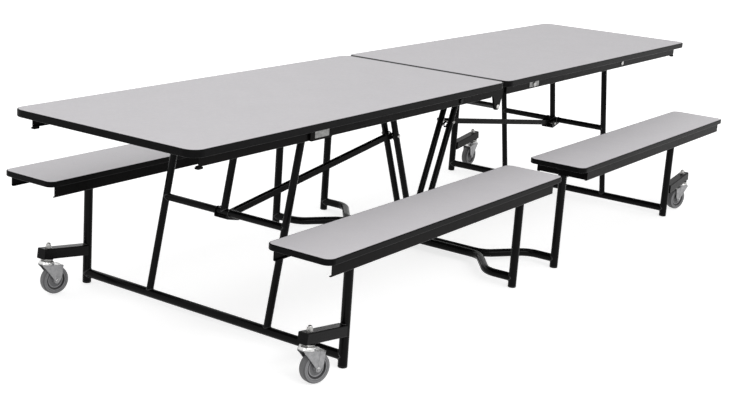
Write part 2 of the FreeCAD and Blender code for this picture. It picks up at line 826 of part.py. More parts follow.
def leg_saddle():
    """Foot welded under the paired legs; it hooks round the outboard side of the centre tube."""
    radius = post_diameter / 2 + saddle_clearance
    middle = center_leg_point(center_leg_foot, 0).x
    top = center_leg_point(saddle_top, 0).x
    reach = center_tube_x + radius + saddle_metal
    low = low_tube_height - radius - saddle_metal * 0.8
    corners = [
        (top - 5, saddle_top, 2.0), (top + 5, saddle_top, 2.0),
        (max(middle + 9, reach), center_leg_foot, 8.0),
        (reach, low + 8, 10.0), (center_tube_x + 12, low, 4.0), (center_tube_x + 3, low + 2, 1.0),
        (center_tube_x + 4, low_tube_height, 0), (center_tube_x + radius * 0.8, low_tube_height + 12, 0),
        (middle - 2, center_leg_foot - 6, 4.0),
    ]
    saddle = plate_xz(corners, -center_leg_outer, center_leg_outer)
    saddle = saddle.cut(pin_y(
        center_tube_x, low_tube_height, -center_leg_outer - 1, center_leg_outer + 1, 2 * radius
    ))
    between = center_leg_spread - leg_diameter / 2 - weld_gap
    for y in (between, -between - leg_diameter * 2):
        saddle = saddle.cut(Part.makeBox(
            leg_pivot_x, leg_diameter * 2, saddle_top, Vector(0, y, center_leg_foot - weld_gap)
        ))
    return saddle


def brace_bolt():
    return headed_pin(
        brace_pin_x, brace_pin_height, center_leg_outer, center_leg_outer,
        brace_pin_diameter, brace_head_diameter, brace_head_height,
    )


def slot_outline(length, radius):
    """Round-ended block along the brace's slot, which starts at length from the brace pivot."""
    half = brace_size / 2
    angle = math.radians(slot_angle)
    near = Vector(length, 0, 0)
    far = Vector(length + slot_length * math.cos(angle), 0, slot_length * math.sin(angle))
    side = Vector(-math.sin(angle) * radius, 0, math.cos(angle) * radius)
    corners = [(p.x, p.z, 0) for p in (near + side, far + side, far - side, near - side)]
    ends = [pin_y(p.x, p.z, -half, half, 2 * radius) for p in (near, far)]
    return ends[0].fuse([plate_xz(corners, -half, half), ends[1]])


def brace():
    """Channel open on top; its upper end has a slot in which the leg bolt travels."""
    start = Vector(brace_foot_x, 0, brace_foot_height)
    end = Vector(brace_pin_x, 0, brace_pin_height)
    length = (end - start).Length
    half = brace_size / 2
    strip = [
        (-half, -half, half - 0.5), (length, -half, 0), (length, half, 0), (-half, half, half - 0.5),
    ]
    eye = slot_width / 2 + slot_land
    body = plate_xz(strip, -half, half).fuse(slot_outline(length, eye))
    inside = half - brace_sheet
    trough = Part.makeBox(
        length - 2 * eye + 2 * half, 2 * inside, 2 * brace_size, Vector(-2 * half, -inside, -inside)
    )
    throat = Part.makeBox(
        6 * eye, 2 * inside, 6 * eye, Vector(length - 2 * eye, -inside, -3 * eye)
    )
    body = body.cut(trough).cut(throat).cut(slot_outline(length, slot_width / 2))
    body = body.cut(pin_y(0, 0, -half, half, brace_pin_diameter + 2 * running_fit))
    slope = math.degrees(math.atan2(end.z - start.z, start.x - end.x))
    turn = FreeCAD.Rotation(Vector(0, 1, 0), 180 + slope)
    body = mirror_z(body.removeSplitter())
    body.Placement = FreeCAD.Placement(start, turn).multiply(body.Placement)
    return body


def mirror_z(shape):
    return shape.mirror(Vector(0, 0, 0), Vector(0, 0, 1))


def center_tube():
    """Cross tube with a swept bend at each end, so that two frames can stand nose to nose."""
    straight = center_tube_straight
    swept = center_tube_swept
    points = [
        (inner_post_x, -post_center), (inner_post_x, -swept), (center_tube_x, -straight),
        (center_tube_x, straight), (inner_post_x, swept), (inner_post_x, post_center),
    ]
    corners = [
        (x, y, 0.0 if index in (0, len(points) - 1) else center_tube_bend)
        for index, (x, y) in enumerate(points)
    ]
    pieces = rounded_edges(corners)
    lift = in_xy(low_tube_height)
    edges = []
    for index, (start, middle, end) in enumerate(pieces):
        if middle is not None:
            edges.append(Part.Arc(*[lift(p.x, p.y) for p in (start, middle, end)]).toShape())
        if index < len(pieces) - 1:
            following = pieces[index + 1][0]
            edges.append(Part.LineSegment(lift(end.x, end.y), lift(following.x, following.y)).toShape())
    path = Part.Wire(edges)
    rounds = []
    for diameter in (post_diameter, post_diameter - 2 * tube_wall):
        ring = Part.Circle(lift(inner_post_x, -post_center), Vector(0, 1, 0), diameter / 2).toShape()
        rounds.append(path.makePipeShell([Part.Wire(ring)], True, False))
    body = rounds[0].cut(rounds[1])
    for side in (-1, 1):
        y = side * post_center
        body = body.cut(cylinder(
            Vector(inner_post_x, y, 0), Vector(inner_post_x, y, post_top), post_diameter + 2 * weld_gap
        ))
    return body


# ---- The whole table ----
def half_nodes(side):
    """Nodes of one half by name, drawn on the right; side is 'left' or 'right'."""
    is_left = side == "left"
    top, top_band = banded_board(
        fold_gap / 2, top_reach, 0, top_width, top_height, top_thickness, top_corner
    )
    stem = caster_stem()
    nodes = {
        "bottom_tube": bottom_tube(),
        "end_posts": pair(bench_post(end_post_x)),
        "end_feet": pair(foot(end_post_x)),
        "table_legs": pair(leaning_tube(low_tube_height, -table_leg_center, post_diameter)),
        "upper_frame": group(
            upper_tube(), leaning_tube(upper_tube_height, 0, leg_diameter), brace_bracket()
        ),
        "caster_arms": pair(caster_arm()),
        "end_fasteners": group(stem, mirror_y(stem), brace_foot_bolt()),
        "front_fork": group(fork(front_swivel[side]), axle(front_swivel[side])),
        "rear_fork": mirror_y(group(fork(rear_swivel[side]), axle(rear_swivel[side]))),
        "front_wheel": wheel(front_swivel[side]),
        "rear_wheel": mirror_y(wheel(rear_swivel[side])),
        "table_top": top,
        "table_edge": top_band,
        "table_aprons": aprons(with_bezel=is_left),
        "pivot_rods": pivot_rods(plate_under_leg_rod=not is_left),
        "pivot_plate": left_pivot_plate() if is_left else right_pivot_plate(),
        "hinge_plates": hinge_plates(0, bolt_fit) if is_left else hinge_plates(1, running_fit),
        "center_legs": group(center_leg(-center_leg_spread), center_leg(center_leg_spread), leg_saddle()),
        "brace_bolt": brace_bolt(),
        "brace": brace(),
        "center_tube": center_tube(),
        "inner_posts": pair(bench_post(inner_post_x)),
        "inner_feet": pair(foot(inner_post_x)),
    }
    seat, seat_band = banded_board(
        seat_start, seat_end, -seat_center, seat_width, seat_height, seat_thickness, seat_corner
    )
    bench = {"seat": seat, "edge": seat_band, "rails": bench_rails()}
    for name, shape in bench.items():
        nodes["front_bench_" + name] = shape
        nodes["rear_bench_" + name] = mirror_y(shape)
    return nodes


def all_nodes():
    nodes = {}
    for name, shape in half_nodes("right").items():
        nodes["right_" + name] = shape
    for name, shape in half_nodes("left").items():
        nodes["left_" + name] = mirror_x(shape)
    nodes["hinge_rod"] = hinge_rod()
    return nodes


os.makedirs("parts", exist_ok=True)
for node_name, node_shape in all_nodes().items():
    node_shape.exportStep("parts/" + node_name + ".step")
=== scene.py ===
import json
import math

import bmesh
import bpy
from mathutils import Matrix, Vector


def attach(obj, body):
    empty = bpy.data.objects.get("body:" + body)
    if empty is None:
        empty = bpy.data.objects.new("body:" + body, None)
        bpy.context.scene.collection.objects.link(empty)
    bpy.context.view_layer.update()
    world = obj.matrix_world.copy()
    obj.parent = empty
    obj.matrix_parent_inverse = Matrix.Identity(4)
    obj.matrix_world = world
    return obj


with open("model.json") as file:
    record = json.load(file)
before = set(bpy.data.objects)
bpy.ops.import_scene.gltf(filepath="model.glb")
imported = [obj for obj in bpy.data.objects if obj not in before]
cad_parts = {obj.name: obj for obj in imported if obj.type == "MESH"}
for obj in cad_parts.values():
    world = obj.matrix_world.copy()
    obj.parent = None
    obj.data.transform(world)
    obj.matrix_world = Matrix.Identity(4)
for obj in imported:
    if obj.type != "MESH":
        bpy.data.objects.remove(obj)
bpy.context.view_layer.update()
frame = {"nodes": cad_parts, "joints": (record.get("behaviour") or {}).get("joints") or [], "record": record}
JOINTS = {joint["name"]: joint for joint in frame["joints"]}

# ---- Picture and camera (metres, radians, pixels of the 750 x 410 frame) ----
IMAGE_WIDTH = 750
IMAGE_HEIGHT = 410
CAMERA_PLACE = Vector((-4.6254, -2.7947, 1.6136))
CAMERA_YAW = 0.6315           # of the view direction, from +X towards +Y
CAMERA_PITCH = -0.2370
CAMERA_ROLL = 0.0581
FOCAL_PIXELS = 1350.5
AXIS_PIXEL = (300, 165)       # where the optical axis meets the frame
SENSOR_WIDTH = 36.0           # mm
CAMERA_REACH = 200.0

# ---- Floor and light ----
FLOOR_REACH = 40.0
FLOOR_TONE = 0.60
FLOOR_LIFT = 0.71             # its own light, which only the camera and reflections see
FLOOR_NEAR = 2.5              # metres from the middle, where the lift begins to rise
FLOOR_FAR = 7.0               # and where it makes the floor white
WORLD_LIGHT = 0.72            # strength of the surround as light; it is seen at 1
LAMP_TARGET = (0, 0, 0.4)
LAMPS = {                     # place, width and height, power in watts
    "overhead": ((-0.5, 0.3, 4.2), (6.0, 4.0), 12),
    "front": ((-2.0, -4.6, 3.4), (6.0, 1.2), 105),
    "rear": ((1.5, 4.6, 3.6), (6.0, 1.2), 30),
    "left": ((-6.0, -0.5, 2.2), (2.0, 2.0), 14),
}

# ---- Sides of the table ----
SIDES = {"left": -1, "right": 1}
ENDS = {"front": -1, "rear": 1}

# ---- Sizes shared with the construction (metres) ----
POST_RADIUS = 0.031750 / 2
LEG_RADIUS = 0.0254 / 2
POST_X = 1.296
POST_Y = 0.571
INNER_POST_X = 0.175
LEG_Y = 0.262
LOW_TUBE_Z = 0.038
UPPER_TUBE_Z = 0.375
END_PIVOT = Vector((1.154, 0, 0.703))
BRACKET_HALF = 0.028          # of the folded bracket on the upper cross tube
ARM_BITE = 0.0125             # post centre to the straight sides of the arm's weld
ARM_HEIGHT = 0.1285           # centre of a caster arm at its post
ARM_HALF = 0.0193             # half its height there, as it slopes
TOP_FLANGE_Z = 0.7185         # underside of the flanges that carry a top
SEAT_FLANGE_Z = 0.4225        # and of those that carry a seat
SEAM_HALF = 0.0160            # half the black line between the two tops: their black edge bands there, and painted shade in the gap between them
HINGE_HEAD_Y = 0.344          # beyond this the hinge rod is its bright head
WHEEL_RADIUS = 0.050

# ---- Sizes of what is only in this script (metres) ----
BEAD_RADIUS = 0.0021          # of a weld bead
BEAD_RIPPLE = 0.13            # share of that radius
BEAD_RHYTHM = 2.1             # radians of the ripple from one section to the next
BEAD_CORNERS = 8
BRACKET_WELD_RADIUS = 0.0133
FORK_INNER = 0.0186           # wheel centre to the inner face of a fork cheek
FORK_OUTER = 0.0223           # and to its outer face
FORK_TOP_DROP = 0.0196        # underside of the arm to the top of the cheeks
FORK_SHEET = 0.0030
FORK_LEAD = 0.0600            # axle to the leading end of a cheek
FORK_LEAD_FALL = 0.0080       # height of that end
FORK_LEAD_LEAN = 0.0040       # by which it leans back over that height
FORK_TRAIL = 0.0185           # axle to the straight trailing edge
FORK_SHOULDER = 0.0170        # height above the axle where that edge ends
FORK_WAIST = 0.45             # share of that height at which the cheek has narrowed
FORK_WAIST_LEAN = 0.0025      # by this much
FORK_TIP = 0.0105             # radius of a cheek round the axle
FORK_TIP_LEAD = -195          # degrees from backward, where the tip begins on the leading edge
FORK_TIP_TRAIL = -15          # and on the trailing edge
FORK_GROOVE = (-0.0046, -0.0026)   # edges of the groove, backward of the axle
FORK_CHAMFER = 0.0005
TOP_SCREW_START = 0.150       # fold line to the first screw under a top
TOP_SCREW_STEP = 0.265
TOP_SCREW_COUNT = 7
TOP_SCREW_Y = 0.332
SEAT_SCREW_START = 0.290
SEAT_SCREW_STEP = 0.300
SEAT_SCREW_COUNT = 5
SEAT_SCREW_Y = (0.484, 0.672)
SCREW_CORNERS = 16
SCREW_PROFILE = ((0.0046, 0.0), (0.0045, 0.0010), (0.0036, 0.0021), (0.0024, 0.0026))
SCREW_RECESS_WIDE = 0.0019    # from the middle to the end of an arm of the cross
SCREW_RECESS_NARROW = 0.0006  # and to its inner corners
SCREW_RECESS_FLOOR = 0.0012   # below the flange
SCREW_RECESS_TAPER = 0.7


# ---- Finishes: shared tones ----
LAMINATE_TINT = (1.0, 0.973, 1.007)
TOP_TONE = 0.55
SEAT_TONE_PAINTED_LIGHT = 0.65              # painted light: the seats' laminate is lighter than the tops' to make up for the shade the tops cast on them
RUBBER_BLUE = 1.03            # blue of the wheel greys, as a share of their red
WHEEL_TONES_AND_PAINTED_SHADE = [               # share of the wheel's radius, grey level; the dark rings in the recesses, at the step onto the tread and along the tread's outer edge are painted shade
    (0.00, 0.32), (0.23, 0.32), (0.25, 0.18), (0.48, 0.21), (0.51, 0.36), (0.56, 0.36),
    (0.59, 0.09), (0.69, 0.10), (0.71, 0.37), (0.75, 0.34), (0.765, 0.06), (0.785, 0.23),
    (0.90, 0.25), (0.945, 0.09), (1.00, 0.16),
]


# ---- Node helpers ----
COLOR_MIX_INPUTS = (0, 6, 7)  # factor and the two colours, as a Mix node numbers its sockets
COLOR_MIX_OUTPUT = 2


class Recipe:
    """A procedural material and the few node chains that the finishes share."""

    def __init__(self, name, color, roughness, metallic=0.0):
        self.material = bpy.data.materials.new(name)
        self.material.use_nodes = True
        self.nodes = self.material.node_tree.nodes
        self.links = self.material.node_tree.links
        self.shader = self.nodes["Principled BSDF"]
        self.shader.inputs["Base Color"].default_value = (*color, 1)
        self.shader.inputs["Roughness"].default_value = roughness
        self.shader.inputs["Metallic"].default_value = metallic
        self.coords = self.nodes.new("ShaderNodeTexCoord")

    def link(self, source, target):
        self.links.new(source, target)

    def feed(self, node, sockets, values):
        """Gives each socket its value, or links it to the output that it comes from."""
        for socket, value in zip(sockets, values):
            if isinstance(value, bpy.types.NodeSocket):
                self.link(value, node.inputs[socket])
            else:
                node.inputs[socket].default_value = value

    def noise(self, scale, detail=2.0, roughness=0.5, stretch=None):
        """Noise in the object's own metres; stretch scales each axis."""
        texture = self.nodes.new("ShaderNodeTexNoise")
        texture.inputs["Scale"].default_value = scale
        texture.inputs["Detail"].default_value = detail
        texture.inputs["Roughness"].default_value = roughness
        source = self.coords.outputs["Object"]
        if stretch:
            mapping = self.nodes.new("ShaderNodeMapping")
            mapping.inputs["Scale"].default_value = stretch
            self.link(source, mapping.inputs["Vector"])
            source = mapping.outputs["Vector"]
        self.link(source, texture.inputs["Vector"])
        return texture.outputs["Fac"]

    def ramp(self, source, low, high, low_color, high_color):
        """A colour that changes from one to the other as a value goes from low to high."""
        node = self.nodes.new("ShaderNodeValToRGB")
        node.color_ramp.elements[0].position = low
        node.color_ramp.elements[1].position = high
        node.color_ramp.elements[0].color = (*low_color, 1)
        node.color_ramp.elements[1].color = (*high_color, 1)
        self.link(source, node.inputs["Fac"])
        return node.outputs["Color"]

    def span(self, source, low, high, to_low, to_high):
        """A value moved from one range to another."""
        node = self.nodes.new("ShaderNodeMapRange")
        node.inputs["From Min"].default_value = low
        node.inputs["From Max"].default_value = high
        node.inputs["To Min"].default_value = to_low
        node.inputs["To Max"].default_value = to_high
        self.link(source, node.inputs["Value"])
        return node.outputs["Result"]

    def mix(self, factor, first, second, mode="MIX"):
        """Two colours, each written out or an output, blended by a factor."""
        node = self.nodes.new("ShaderNodeMix")
        node.data_type = "RGBA"
        node.blend_type = mode
        first, second = [(*c, 1) if isinstance(c, tuple) else c for c in (first, second)]
        self.feed(node, COLOR_MIX_INPUTS, (factor, first, second))
        return node.outputs[COLOR_MIX_OUTPUT]

    def math(self, operation, first, second):
        node = self.nodes.new("ShaderNodeMath")
        node.operation = operation
        self.feed(node, (0, 1), (first, second))
        return node.outputs[0]

    def vector(self, operation, first, second):
        node = self.nodes.new("ShaderNodeVectorMath")
        node.operation = operation
        self.feed(node, (0, 1), (first, second))
        return node.outputs["Value" if operation == "LENGTH" else "Vector"]

    def part(self, output, letter):
        """One coordinate of a texture coordinate output, such as the Z of its Normal."""
        split = self.nodes.new("ShaderNodeSeparateXYZ")
        self.link(self.coords.outputs[output], split.inputs[0])
        return split.outputs[letter]

    def bands(self, source, stops):
        """Grey levels that follow a value, from (position, level) stops."""
        node = self.nodes.new("ShaderNodeValToRGB")
        elements = node.color_ramp.elements
        while len(elements) < len(stops):
            elements.new(0.5)
        for element, (position, level) in zip(elements, stops):
            element.position = position
            element.color = (level, level, level * RUBBER_BLUE, 1)
        self.link(source, node.inputs["Fac"])
        return node.outputs["Color"]

    def specular(self, level):
        self.shader.inputs["Specular IOR Level"].default_value = level

    def color(self, source):
        self.link(source, self.shader.inputs["Base Color"])

    def rough(self, source):
        self.link(source, self.shader.inputs["Roughness"])

    def bump(self, source, depth):
        node = self.nodes.new("ShaderNodeBump")
        node.inputs["Distance"].default_value = depth
        node.inputs["Strength"].default_value = 1.0
        self.link(source, node.inputs["Height"])
        self.link(node.outputs["Normal"], self.shader.inputs["Normal"])


# ---- Finishes ----
def laminate(name, tone):
    """Pale grey laminate, painted black along the fold for the edge bands there and as painted shade in the
    gap between the tops, over a dark backing sheet.
    """
    pale, soft, dark = [
        tuple(tone * share * c for c in LAMINATE_TINT) for share in (1.0, 0.95, 0.82)
    ]
    recipe = Recipe(name, pale, 0.46)
    recipe.specular(0.16)
    cloud = recipe.ramp(recipe.noise(7, 4, 0.55), 0.3, 0.7, soft, pale)
    fleck = recipe.ramp(recipe.noise(520, 3, 0.7), 0.36, 0.52, dark, pale)
    face = recipe.mix(0.4, cloud, fleck)
    below = recipe.math("LESS_THAN", recipe.part("Normal", "Z"), -0.5)
    backing = recipe.ramp(
        recipe.noise(160, 3, 0.6), 0.3, 0.7, (0.035, 0.03, 0.027), (0.055, 0.048, 0.043))
    # black within SEAM_HALF of the fold: the tops' black edge bands, and painted shade in the gap between
    # the two tops
    from_fold = recipe.math("ABSOLUTE", recipe.part("Object", "X"), 0.0)
    fold_bands_and_gap_shade = recipe.math("LESS_THAN", from_fold, SEAM_HALF)
    upper = recipe.mix(fold_bands_and_gap_shade, face, (0.006, 0.006, 0.0065))
    recipe.color(recipe.mix(below, upper, backing))
    recipe.rough(recipe.span(recipe.noise(60, 3, 0.6), 0.3, 0.7, 0.42, 0.54))
    recipe.bump(recipe.noise(900, 2, 0.6), 0.00004)
    return recipe.material


def edge_band():
    """Moulded black vinyl with a fine leather grain."""
    recipe = Recipe("edge_band", (0.012, 0.012, 0.013), 0.36)
    recipe.specular(0.045)
    recipe.color(recipe.ramp(
        recipe.noise(90, 4, 0.6), 0.3, 0.75, (0.002, 0.002, 0.0022), (0.005, 0.005, 0.0053)))
    recipe.rough(recipe.span(recipe.noise(300, 2, 0.5), 0.3, 0.7, 0.28, 0.42))
    recipe.bump(recipe.noise(1400, 3, 0.6), 0.00005)
    return recipe.material


def powder_coat(name, low, high, roughness, peel, gloss):
    """Powder-coated steel: orange peel, with a faint haze of handling."""
    recipe = Recipe(name, low, roughness)
    recipe.specular(gloss)
    recipe.color(recipe.ramp(recipe.noise(24, 5, 0.65), 0.35, 0.75, low, high))
    haze = recipe.noise(45, 5, 0.7)
    recipe.rough(recipe.span(haze, 0.3, 0.75, roughness - 0.05, roughness + 0.08))
    recipe.bump(recipe.noise(peel, 2, 0.4), 0.00007)
    return recipe.material


def zinc(name, tone, roughness):
    """Bright plated steel with faint clouding and polishing marks."""
    recipe = Recipe(name, tone, roughness, metallic=1.0)
    dull = tuple(c * 0.55 for c in tone)
    recipe.color(recipe.ramp(recipe.noise(110, 4, 0.6), 0.3, 0.7, dull, tone))
    marks = recipe.noise(900, 2, 0.5, stretch=(1.0, 1.0, 0.08))
    recipe.rough(recipe.span(marks, 0.3, 0.7, roughness - 0.06, roughness + 0.12))
    recipe.bump(marks, 0.00002)
    return recipe.material


def pressed_steel_painted_highlight():
    """Plated sheet whose drawn legs are satin grey; every face that points upward, as the domed crown does,
    is painted a much lighter grey as a painted highlight.
    """
    recipe = Recipe("pressed_steel_painted_highlight", (0.34, 0.34, 0.345), 0.36, metallic=1.0)
    # faces that point upward, as the domed crown does, are painted the lighter grey: a painted highlight
    crown = recipe.math("GREATER_THAN", recipe.part("Normal", "Z"), 0.25)
    cloud = recipe.noise(80, 4, 0.6)
    satin = recipe.ramp(cloud, 0.3, 0.7, (0.25, 0.25, 0.255), (0.36, 0.36, 0.365))
    bright = recipe.ramp(cloud, 0.3, 0.7, (0.62, 0.62, 0.61), (0.80, 0.80, 0.79))
    recipe.color(recipe.mix(crown, satin, bright))
    grain = recipe.noise(700, 3, 0.6, stretch=(1.0, 1.0, 0.1))
    soft = recipe.span(grain, 0.3, 0.7, 0.34, 0.5)
    recipe.rough(recipe.math("SUBTRACT", soft, recipe.math("MULTIPLY", crown, 0.2)))
    recipe.bump(grain, 0.00003)
    return recipe.material


def hinge_steel():
    """Black rod whose head has been worn bright."""
    recipe = Recipe("hinge_steel", (0.02, 0.02, 0.02), 0.3)
    out = recipe.math("ABSOLUTE", recipe.part("Object", "Y"), 0.0)
    head = recipe.math("GREATER_THAN", out, HINGE_HEAD_Y)
    scratches = recipe.noise(500, 4, 0.7)
    bare = recipe.ramp(scratches, 0.35, 0.6, (0.35, 0.34, 0.33), (0.7, 0.69, 0.67))
    coat = recipe.ramp(scratches, 0.3, 0.7, (0.012, 0.012, 0.012), (0.03, 0.03, 0.03))
    recipe.color(recipe.mix(head, coat, bare))
    recipe.link(head, recipe.shader.inputs["Metallic"])
    recipe.rough(recipe.span(scratches, 0.3, 0.7, 0.22, 0.4))
    recipe.bump(scratches, 0.00004)
    return recipe.material


def plastic(name, low, high, roughness):
    """Moulded black nylon with a fine, uneven skin."""
    recipe = Recipe(name, low, roughness)
    recipe.specular(0.15)
    recipe.color(recipe.ramp(recipe.noise(200, 4, 0.6), 0.3, 0.7, low, high))
    recipe.rough(recipe.span(
        recipe.noise(500, 2, 0.5), 0.3, 0.7, roughness - 0.05, roughness + 0.08))
    recipe.bump(recipe.noise(1600, 2, 0.5), 0.00005)
    return recipe.material


def wheel_rubber_painted_shade(name, center, axis):
    """Grey non-marking tread round a ribbed core, told apart by the distance from the axle, with painted
    shade in the recesses, at the step onto the tread and along its outer edge.
    """
    recipe = Recipe(name, (0.18, 0.18, 0.185), 0.5)
    recipe.specular(0.35)
    offset = recipe.vector("SUBTRACT", recipe.coords.outputs["Object"], center)
    radius = recipe.vector("LENGTH", recipe.vector("CROSS_PRODUCT", offset, axis), (0, 0, 0))
    share = recipe.math("DIVIDE", radius, WHEEL_RADIUS)
    # grey levels by radius: the tones of tread and core, and painted shade in the recess rings and at the
    # tread's outer edge
    tone = recipe.bands(share, WHEEL_TONES_AND_PAINTED_SHADE)
    grain = recipe.noise(420, 4, 0.65)
    shade = recipe.ramp(grain, 0.3, 0.7, (0.82, 0.82, 0.82), (1, 1, 1))
    recipe.color(recipe.mix(1.0, tone, shade, "MULTIPLY"))
    recipe.rough(recipe.span(grain, 0.3, 0.7, 0.4, 0.58))
    recipe.bump(recipe.noise(1300, 3, 0.6), 0.00006)
    return recipe.material


FINISHES = {
    "laminate": laminate("laminate", TOP_TONE),
    "edge_band": edge_band(),
    "channel_black": powder_coat(
        "channel_black", (0.0024, 0.0021, 0.0021), (0.0044, 0.0040, 0.0040), 0.32, 650, 0.035),
    "frame_black": powder_coat(
        "frame_black", (0.0018, 0.0018, 0.0019), (0.004, 0.004, 0.0042), 0.22, 700, 0.08),
    "foot_plastic": plastic("foot_plastic", (0.005, 0.005, 0.005), (0.009, 0.009, 0.009), 0.4),
    "zinc": zinc("zinc", (0.50, 0.495, 0.485), 0.18),
    "bright_plate": zinc("bright_plate", (0.30, 0.30, 0.295), 0.36),
    "hinge_steel": hinge_steel(),
}
# a lighter copy of the laminate for the seats: painted light against the shade of the tops
SEAT_LAMINATE_PAINTED_LIGHT = laminate("seat_laminate_painted_light", SEAT_TONE_PAINTED_LIGHT)
FORK_STEEL_PAINTED_HIGHLIGHT = pressed_steel_painted_highlight()
WELD_BLACK = powder_coat(
    "weld_black", (0.003, 0.003, 0.0031), (0.008, 0.008, 0.0082), 0.14, 900, 0.5)


def dress_cad():
    """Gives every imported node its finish; each wheel has its own, told by its axle."""
    slots = {part["node"]: part["material_slot"] for part in frame["record"]["subparts"]}
    for name, node in frame["nodes"].items():
        if slots[name] == "wheel_grey":
            joint = JOINTS[name.replace("_wheel", "_roll")]
            finish = wheel_rubber_painted_shade(
                "rubber_" + name, Vector(joint["pos_m"]), Vector(joint["axis"]))
        # forks take the steel with the painted highlight on their upward faces
        elif name.endswith("_fork"):
            finish = FORK_STEEL_PAINTED_HIGHLIGHT
        # seats take the lighter copy of the laminate: painted light against the tops' shade
        elif name.endswith("_seat"):
            finish = SEAT_LAMINATE_PAINTED_LIGHT
        else:
            finish = FINISHES[slots[name]]
        for place in node.material_slots:
            place.material = finish


# ---- Mesh helpers ----
def add_piece(name, mesh, body, finish):
    """Puts a mesh in the scene, on its body and with its finish."""
    piece = bpy.data.objects.new(name, mesh)
    bpy.context.scene.collection.objects.link(piece)
    mesh.materials.append(finish)
    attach(piece, body)


def ring_mesh(name, sections, closed, smooth):
    """Skin through sections of equal length, lists of points round a line."""
    mesh = bpy.data.meshes.new(name)
    shape = bmesh.new()
    rows = [[shape.verts.new(point) for point in section] for section in sections]
    count = len(rows[0])
    pairs = list(zip(rows, rows[1:] + rows[:1])) if closed else list(zip(rows, rows[1:]))
    for first, second in pairs:
        for index in range(count):
            ahead = (index + 1) % count
            shape.faces.new((first[index], first[ahead], second[ahead], second[index]))
    if not closed:
        shape.faces.new(rows[0][::-1])
        shape.faces.new(rows[-1])
    bmesh.ops.recalc_face_normals(shape, faces=shape.faces)
    for face in shape.faces:
        face.smooth = smooth
    shape.to_mesh(mesh)
    shape.free()
    return mesh


def turns_of(count):
    """Equal angles round a full turn."""
    return [2 * math.pi * index / count for index in range(count)]


def spread(count):
    """Equal steps from 1 down to -1."""
    return [1 - 2 * index / (count - 1) for index in range(count)]


def bead_sections(points):
    """Round sections along a closed weld, with the ripple of its overlapping pools."""
    sections = []
    count = len(points)
    side = (points[1] - points[-1]).normalized().orthogonal()
    for index, point in enumerate(points):
        along = (points[(index + 1) % count] - points[index - 1]).normalized()
        side = (side - along * side.dot(along)).normalized()
        other = along.cross(side)
        swell = BEAD_RADIUS * (1 + BEAD_RIPPLE * math.sin(index * BEAD_RHYTHM))
        sections.append([
            point + (side * math.cos(turn) + other * math.sin(turn)) * swell
            for turn in turns_of(BEAD_CORNERS)
        ])
    return sections


def tee_line(branch_start, branch_end, branch_radius, main_point, main_axis, main_radius, count=56):
    """The line in which a round branch meets a round main tube."""
    along = (branch_end - branch_start).normalized()
    side = along.cross(main_axis).normalized()
    other = along.cross(side)
    points = []
    for turn in turns_of(count):
        base = branch_start + (side * math.cos(turn) + other * math.sin(turn)) * branch_radius
        offset = base - main_point
        offset -= main_axis * offset.dot(main_axis)
        run = along - main_axis * along.dot(main_axis)
        a = run.dot(run)
        b = 2 * run.dot(offset)
        c = offset.dot(offset) - main_radius ** 2
        root = max(b * b - 4 * a * c, 0.0)
        points.append(base + along * ((-b + math.sqrt(root)) / (2 * a)))
    return points


def weld(name, points, body):
    """One bead along a closed line."""
    mesh = ring_mesh(name, bead_sections(points), closed=True, smooth=True)
    add_piece(name, mesh, body, WELD_BLACK)


# ---- Welds of the tube frames ----
def leaning_point(sign, y, height):
    """On the sloping plane of a half's table legs, at a given height."""
    share = (height - LOW_TUBE_Z) / (END_PIVOT.z - LOW_TUBE_Z)
    return Vector((sign * (POST_X + (END_PIVOT.x - POST_X) * share), y, height))


def arm_line(sign, toward):
    """Round the square end of a caster arm where it meets its post."""
    center = Vector((sign * POST_X, toward * POST_Y, ARM_HEIGHT))
    swing = math.acos(ARM_BITE / POST_RADIUS)
    angles = [swing * step for step in spread(13)]
    arc = [
        Vector((sign * math.cos(angle) * POST_RADIUS, math.sin(angle) * POST_RADIUS, 0))
        for angle in angles
    ]
    rise = Vector((0, 0, ARM_HALF))
    edge = Vector((sign * ARM_BITE, 0, 0))
    side = Vector((0, POST_RADIUS * math.sin(swing), 0))
    fall = [rise * step for step in spread(15)[1:-1]]
    points = [center + rise + place for place in arc]
    points += [center + edge - side + height for height in fall]
    points += [center - rise + place for place in arc[::-1]]
    return points + [center + edge + side + height for height in fall[::-1]]


def round_line(center, axis, radius, count=40):
    """A circle about an axis."""
    side = axis.orthogonal().normalized()
    other = axis.cross(side)
    return [
        center + (side * math.cos(turn) + other * math.sin(turn)) * radius
        for turn in turns_of(count)
    ]


